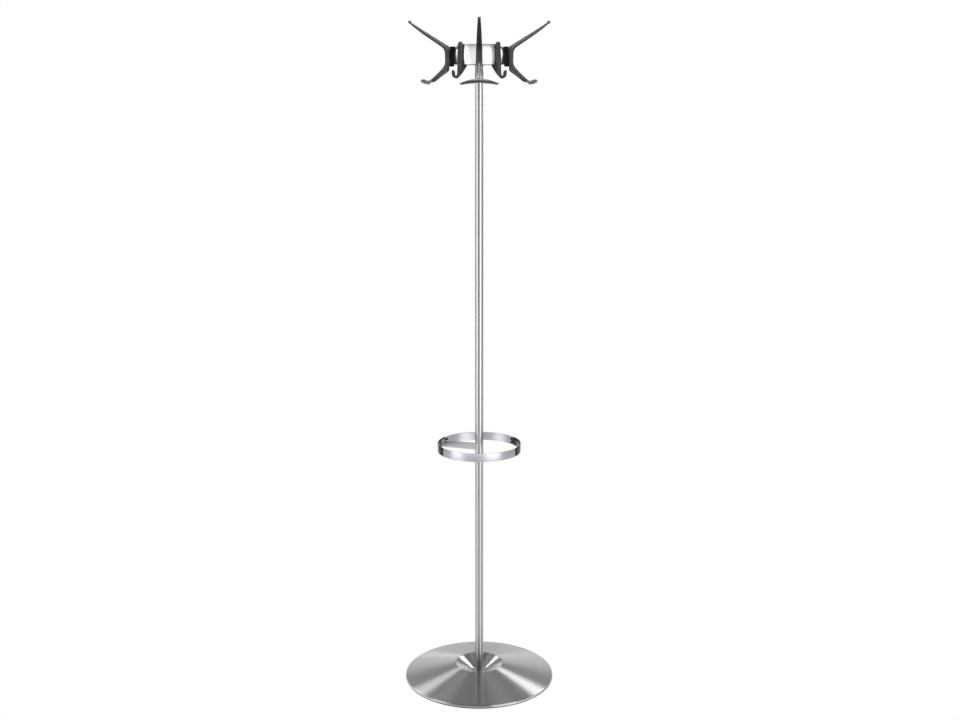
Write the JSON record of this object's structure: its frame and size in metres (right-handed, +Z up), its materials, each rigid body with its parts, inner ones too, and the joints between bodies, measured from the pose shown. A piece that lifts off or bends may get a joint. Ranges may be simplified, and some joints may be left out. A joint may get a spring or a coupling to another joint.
{
  "type": "standing coat rack",
  "caption": "Free-standing coat rack: weighted funnel-shaped round foot, slim steel pole, umbrella ring on a side bar, drum head with large and small hooks.",
  "frame": {"origin": "centre of the foot's underside, on the floor, on the pole's axis", "axes": "+Z up along the pole, +X to the rack's right seen from the front, the front looks along -Y"},
  "size_m": [0.4, 0.4, 1.735],
  "materials": {
    "brushed_cover": "spun stainless sheet, brushed in circles",
    "brushed_tube": "stainless tube, fine satin grain along its length",
    "chrome_ring": "bright chrome plate",
    "chrome_drum": "bright chrome plate",
    "satin_black_hook": "satin moulded plastic, charcoal black",
    "black_block": "matt black plastic",
    "black_joint": "black moulded plastic",
    "black_cap": "black moulded plastic",
    "cast_weight": "rough casting, painted black",
    "black_rubber": "soft black edge ring",
    "zinc_steel": "zinc plated steel"
  },
  "bodies": {
    "root": {"base_bolt": "zinc_steel", "base_cover": "brushed_cover", "base_washer": "zinc_steel", "base_weight": "cast_weight", "coat_hook_front": "satin_black_hook", "coat_hook_left": "satin_black_hook", "coat_hook_rear": "satin_black_hook", "coat_hook_right": "satin_black_hook", "coat_hook_screws": "zinc_steel", "drum_bottom_cap": "black_cap", "drum_shell": "chrome_drum", "drum_top_cap": "black_cap", "floor_ring": "black_rubber", "head_bolt": "zinc_steel", "head_hub": "black_cap", "head_washer": "zinc_steel", "hook_block_front": "black_block", "hook_block_left": "black_block", "hook_block_rear": "black_block", "hook_block_right": "black_block", "pole_coupler": "zinc_steel", "pole_foot_plug": "zinc_steel", "pole_lower": "brushed_tube", "pole_top_plug": "zinc_steel", "pole_upper": "brushed_tube", "ring_bar": "chrome_ring", "ring_front_arc": "chrome_ring", "ring_joint_left": "black_joint", "ring_joint_right": "black_joint", "ring_joint_screws": "zinc_steel", "ring_rear_arc": "chrome_ring", "ring_tab_screws": "zinc_steel", "small_hook_front_left": "satin_black_hook", "small_hook_front_right": "satin_black_hook", "small_hook_rear_left": "satin_black_hook", "small_hook_rear_right": "satin_black_hook", "small_hook_screws": "zinc_steel"}
  },
  "joints": []
}
